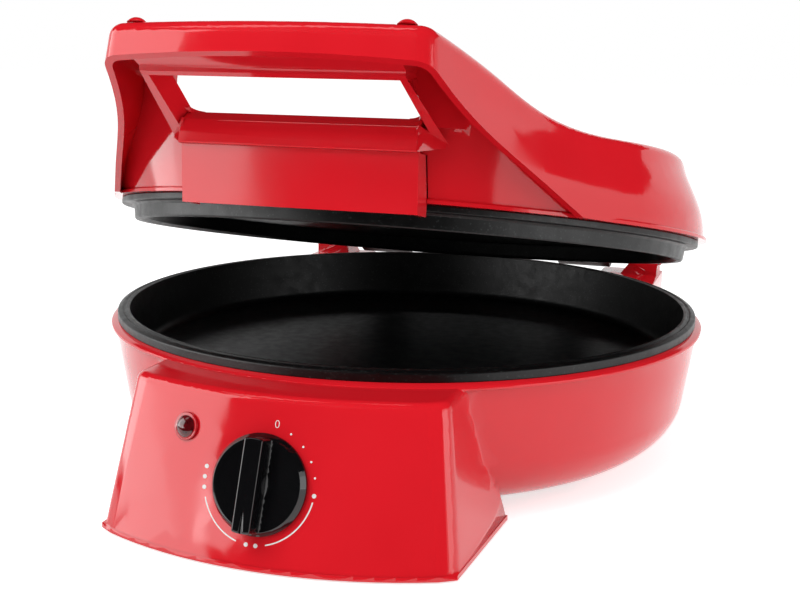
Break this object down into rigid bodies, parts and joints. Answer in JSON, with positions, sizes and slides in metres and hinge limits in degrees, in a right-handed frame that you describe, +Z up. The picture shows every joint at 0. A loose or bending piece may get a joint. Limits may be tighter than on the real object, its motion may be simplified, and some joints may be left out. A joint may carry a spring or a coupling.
{
  "type": "electric pizza maker",
  "caption": "Countertop electric pizza maker: a round non-stick pan in a red base with a knob and lamp on a front box, under a hinged domed lid with a loop handle.",
  "frame": {"origin": "on the table, under the middle of the object's length and width", "axes": "+Z up, -Y towards the control box and the handle, +X to the right when seen from the front"},
  "size_m": [0.33, 0.405, 0.2325],
  "materials": {
    "red_housing": "glossy red moulding",
    "black_coating": "black non-stick coating with fine pale speckles",
    "black_gloss": "polished black",
    "red_lens": "dark red lens",
    "lamp_glass": "small neon lamp",
    "dark_rubber": "soft matt rubber",
    "black_plastic": "fine grained black moulding",
    "zinc_screws": "zinc plated",
    "bare_steel": "plain steel",
    "reflector_sheet": "rolled bright sheet",
    "pale_ceramic": "cream ceramic",
    "bush_brass": "plain brass",
    "fuse_can": "plated can",
    "wire_sleeve": "glass fibre sleeve",
    "red_caps": "glossy red moulding"
  },
  "bodies": {
    "base": {"base_shell": "red_housing", "bottom_cover": "black_plastic", "bottom_cover_screws": "zinc_screws", "control_box_cover": "black_plastic", "control_box_screws": "zinc_screws", "front_pads": "dark_rubber", "rear_pads": "dark_rubber", "cord_gland": "dark_rubber", "baking_pan": "black_coating", "pan_screws": "zinc_screws", "lower_reflector": "reflector_sheet", "lower_heating_element": "bare_steel", "lower_element_clamps": "zinc_screws", "thermostat_body": "pale_ceramic", "thermostat_screws": "zinc_screws", "thermostat_sensor": "bare_steel", "indicator_lens": "red_lens", "indicator_lamp": "lamp_glass", "lamp_holder": "black_plastic", "terminal_block": "pale_ceramic", "terminal_screws": "zinc_screws", "thermal_fuse": "fuse_can", "internal_wiring": "wire_sleeve", "hinge_pins": "bare_steel", "hinge_caps": "red_caps"},
    "lid": {"lid_shell": "red_housing", "handle_insert": "red_housing", "handle_screws": "zinc_screws", "lid_rest_feet": "red_housing", "upper_plate": "black_coating", "upper_plate_studs": "zinc_screws", "upper_reflector": "reflector_sheet", "upper_heating_element": "bare_steel", "upper_element_clamps": "zinc_screws", "hinge_blocks": "black_plastic", "hinge_bushes": "bush_brass", "hinge_screws": "zinc_screws", "lid_wiring": "wire_sleeve"},
    "knob": {"control_knob": "black_gloss", "thermostat_shaft": "bare_steel"}
  },
  "joints": [
    {"name": "lid_hinge", "type": "hinge", "parent": "base", "child": "lid", "pos_m": [0, 0.19145, 0.084], "axis": [-1, 0, 0], "range_deg": [-12, 170]},
    {"name": "knob_turn", "type": "hinge", "parent": "base", "child": "knob", "pos_m": [-0.0005, -0.18346, 0.036], "axis": [0.0024, 0.9564, -0.292], "range_deg": [-169, 98]}
  ]
}
